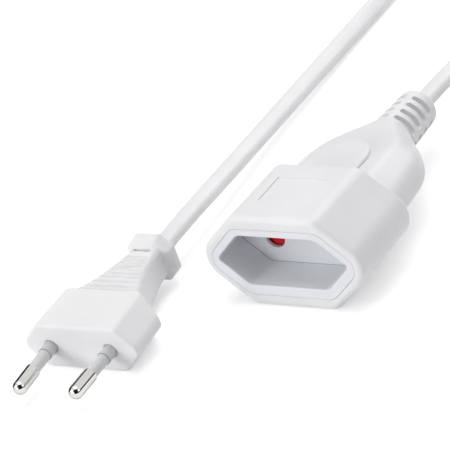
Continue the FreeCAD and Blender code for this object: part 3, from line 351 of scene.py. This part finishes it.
MATERIALS = {
    "white_plastic": plastic("white_plastic", (0.86, 0.86, 0.875), 0.42, grain=2400, depth=8e-6),
    "insert_plastic": plastic("insert_plastic", (0.83, 0.85, 0.88), 0.45, bands=INSERT_SHADE_BANDS),
    "grey_plastic": plastic("grey_plastic", (0.42, 0.43, 0.45), 0.6, grain=1400, depth=8e-6),
    "red_plastic": plastic("red_plastic", (0.68, 0.006, 0.014), 0.3),
    "soft_white": plastic("soft_white", (0.85, 0.85, 0.865), 0.5),
    "plug_plastic": plastic("plug_plastic", (0.86, 0.86, 0.87), 0.52, grain=2600, depth=2.2e-5),
    "cord_sheath": plastic("cord_sheath", (0.87, 0.87, 0.88), 0.46, grain=1500, depth=5e-6),
    "tie": plastic("tie", (0.80, 0.80, 0.79), 0.35),
    "brown_core": plastic("brown_core", (0.10, 0.035, 0.015), 0.5),
    "blue_core": plastic("blue_core", (0.02, 0.09, 0.40), 0.5),
    "sleeve_plastic": plastic("sleeve_plastic", (0.70, 0.705, 0.715), 0.35, bands=SLEEVE_BANDS),
    "nickel": metal("nickel", (0.68, 0.665, 0.645), 0.06, (1, 0.05, 1), edge=0.3),
    "steel": metal("steel", (0.58, 0.58, 0.60), 0.3, (1, 0.05, 1)),
    "spring_steel": metal("spring_steel", (0.45, 0.45, 0.47), 0.35, (1, 1, 1)),
    "brass": metal("brass", (0.78, 0.56, 0.25), 0.28, (1, 0.08, 1)),
    "copper": metal("copper", (0.85, 0.40, 0.22), 0.3, (1, 0.03, 1)),
}

# Pieces whose look differs from that of their slot
OWN_MATERIAL = {"socket_insert": "insert_plastic"}
for part in frame["record"]["subparts"]:
    node = NODES[part["node"]]
    material = MATERIALS[OWN_MATERIAL.get(part["node"], part["material_slot"])]
    node.data.materials.clear()
    node.data.materials.append(material)
cord.data.materials.append(MATERIALS["cord_sheath"])

# Floor, light and world

FLOOR_SIZE = 6.0
FLOOR_LEVEL = -0.0001
FLOOR_COLOUR = (0.84, 0.84, 0.85)

# Distances from the middle, and how strongly the floor glows there
FLOOR_GLOW = ((0.45, 0.42), (1.6, 1.0))

# The sky's levels from low to high, as light and as what glossy surfaces mirror
WORLD_LIGHT = ((0.0, 0.12), (0.35, 0.04), (0.9, 0.49))
WORLD_UP = (0, 0, 1)
WORLD_MIRRORED = ((0.0, 0.02), (0.42, 0.03), (0.50, 1.0))
MIRRORED_UP = (0.22, 0, 1)

# The studio's dark side in reflections: its direction, where it fades, and its level
DARK_SIDE = (0.61, -0.61, 0.51)
DARK_EDGE = (0.72, 0.82)
DARK_LEVEL = 0.02

# Lamps: name, place, width and height, and power
LAMPS = (
    ("top_lamp", (0.0, 0.1, 1.25), (0.9, 0.9), 5.5),
    ("left_lamp", (-0.8, -0.9, 0.6), (0.7, 0.7), 5.4),
    ("low_lamp", (-0.30, -1.2, 0.3), (0.9, 0.4), 3.9),
    ("right_lamp", (1.1, 0.0, 0.6), (0.7, 0.7), 1.3),
    ("back_lamp", (0.0, 1.1, 0.8), (0.9, 0.6), 5.8),
)


def any_ray(tree, *kinds):
    """1 where the light path is of one of those kinds, otherwise 0."""
    rays = tree.nodes.new("ShaderNodeLightPath")
    found = rays.outputs[kinds[0]]
    for kind in kinds[1:]:
        highest = tree.nodes.new("ShaderNodeMath")
        highest.operation = "MAXIMUM"
        tree.links.new(found, highest.inputs[0])
        tree.links.new(rays.outputs[kind], highest.inputs[1])
        found = highest.outputs[0]
    return found


def mix_shaders(tree, factor, first, second):
    mix = tree.nodes.new("ShaderNodeMixShader")
    tree.links.new(factor, mix.inputs["Fac"])
    tree.links.new(first.outputs[0], mix.inputs[1])
    tree.links.new(second.outputs[0], mix.inputs[2])
    return mix


def make_floor():
    """A pale floor that keeps the shadow. To the camera and in reflections it glows a
    little, and more further out, where the lamps no longer reach."""
    mesh = bpy.data.meshes.new("floor")
    half = FLOOR_SIZE / 2
    corners = [(-half, -half, 0), (half, -half, 0), (half, half, 0), (-half, half, 0)]
    mesh.from_pydata(corners, [], [(0, 1, 2, 3)])
    floor = bpy.data.objects.new("floor", mesh)
    floor.location.z = FLOOR_LEVEL
    scene.collection.objects.link(floor)
    material = bpy.data.materials.new("floor")
    material.use_nodes = True
    tree = material.node_tree
    tree.nodes.clear()
    paint = tree.nodes.new("ShaderNodeBsdfDiffuse")
    paint.inputs["Color"].default_value = (*FLOOR_COLOUR, 1)
    place = tree.nodes.new("ShaderNodeTexCoord")
    distance = tree.nodes.new("ShaderNodeVectorMath")
    distance.operation = "LENGTH"
    level = tree.nodes.new("ShaderNodeMapRange")
    for end, (far, strength) in zip(("Min", "Max"), FLOOR_GLOW):
        level.inputs["From " + end].default_value = far
        level.inputs["To " + end].default_value = strength
    glow = tree.nodes.new("ShaderNodeEmission")
    none = tree.nodes.new("ShaderNodeEmission")
    none.inputs["Strength"].default_value = 0.0
    shown = any_ray(tree, "Is Camera Ray", "Is Glossy Ray", "Is Transmission Ray")
    extra = mix_shaders(tree, shown, none, glow)
    total = tree.nodes.new("ShaderNodeAddShader")
    output = tree.nodes.new("ShaderNodeOutputMaterial")
    link = tree.links.new
    link(place.outputs["Object"], distance.inputs[0])
    link(distance.outputs["Value"], level.inputs["Value"])
    link(level.outputs["Result"], glow.inputs["Strength"])
    link(paint.outputs[0], total.inputs[0])
    link(extra.outputs[0], total.inputs[1])
    link(total.outputs[0], output.inputs["Surface"])
    mesh.materials.append(material)


def make_world():
    """Light from a soft dome. The camera sees plain white, and so does a glossy surface,
    but for the dark ring round a white table in a studio, which stands higher at the
    left, and for one dark side of the studio."""
    world = bpy.data.worlds.new("world")
    scene.world = world
    world.use_nodes = True
    tree = world.node_tree
    tree.nodes.clear()
    link = tree.links.new
    place = tree.nodes.new("ShaderNodeTexCoord")

    def along(axis):
        """How far the seen direction lies along an axis."""
        dot = tree.nodes.new("ShaderNodeVectorMath")
        dot.operation = "DOT_PRODUCT"
        dot.inputs[1].default_value = axis
        link(place.outputs["Generated"], dot.inputs[0])
        return dot.outputs["Value"]

    def sky(stops, up):
        """A background with those levels, from the lowest places to the highest."""
        ramp = tree.nodes.new("ShaderNodeValToRGB")
        elements = ramp.color_ramp.elements
        while len(elements) < len(stops):
            elements.new(0.5)
        brightest = max(level for _, level in stops)
        for element, (height, level) in zip(elements, stops):
            grey = level / brightest
            element.position = height
            element.color = (grey, grey, grey, 1)
        link(along(up), ramp.inputs["Fac"])
        shade = tree.nodes.new("ShaderNodeBackground")
        link(ramp.outputs["Color"], shade.inputs["Color"])
        shade.inputs["Strength"].default_value = brightest
        return shade

    light = sky(WORLD_LIGHT, WORLD_UP)
    mirrored = sky(WORLD_MIRRORED, MIRRORED_UP)
    strength = tree.nodes.new("ShaderNodeMapRange")
    strength.inputs["From Min"].default_value = DARK_EDGE[0]
    strength.inputs["From Max"].default_value = DARK_EDGE[1]
    strength.inputs["To Min"].default_value = 1.0
    strength.inputs["To Max"].default_value = DARK_LEVEL
    link(along(DARK_SIDE), strength.inputs["Value"])
    link(strength.outputs["Result"], mirrored.inputs["Strength"])
    plain = tree.nodes.new("ShaderNodeBackground")
    plain.inputs["Color"].default_value = (1, 1, 1, 1)
    glossy = any_ray(tree, "Is Glossy Ray", "Is Transmission Ray")
    unseen = mix_shaders(tree, glossy, light, mirrored)
    whole = mix_shaders(tree, any_ray(tree, "Is Camera Ray"), unseen, plain)
    output = tree.nodes.new("ShaderNodeOutputWorld")
    link(whole.outputs[0], output.inputs["Surface"])


def make_lamp(name, place, size, power):
    """A soft box that faces the frame's origin."""
    data = bpy.data.lights.new(name, "AREA")
    data.shape = "RECTANGLE"
    data.size, data.size_y = size
    data.energy = power
    lamp = bpy.data.objects.new(name, data)
    lamp.location = place
    lamp.rotation_euler = (-Vector(place)).to_track_quat("-Z", "Y").to_euler()
    scene.collection.objects.link(lamp)


make_floor()
make_world()
for name, place, size, power in LAMPS:
    make_lamp(name, place, size, power)

scene.view_settings.view_transform = "Standard"
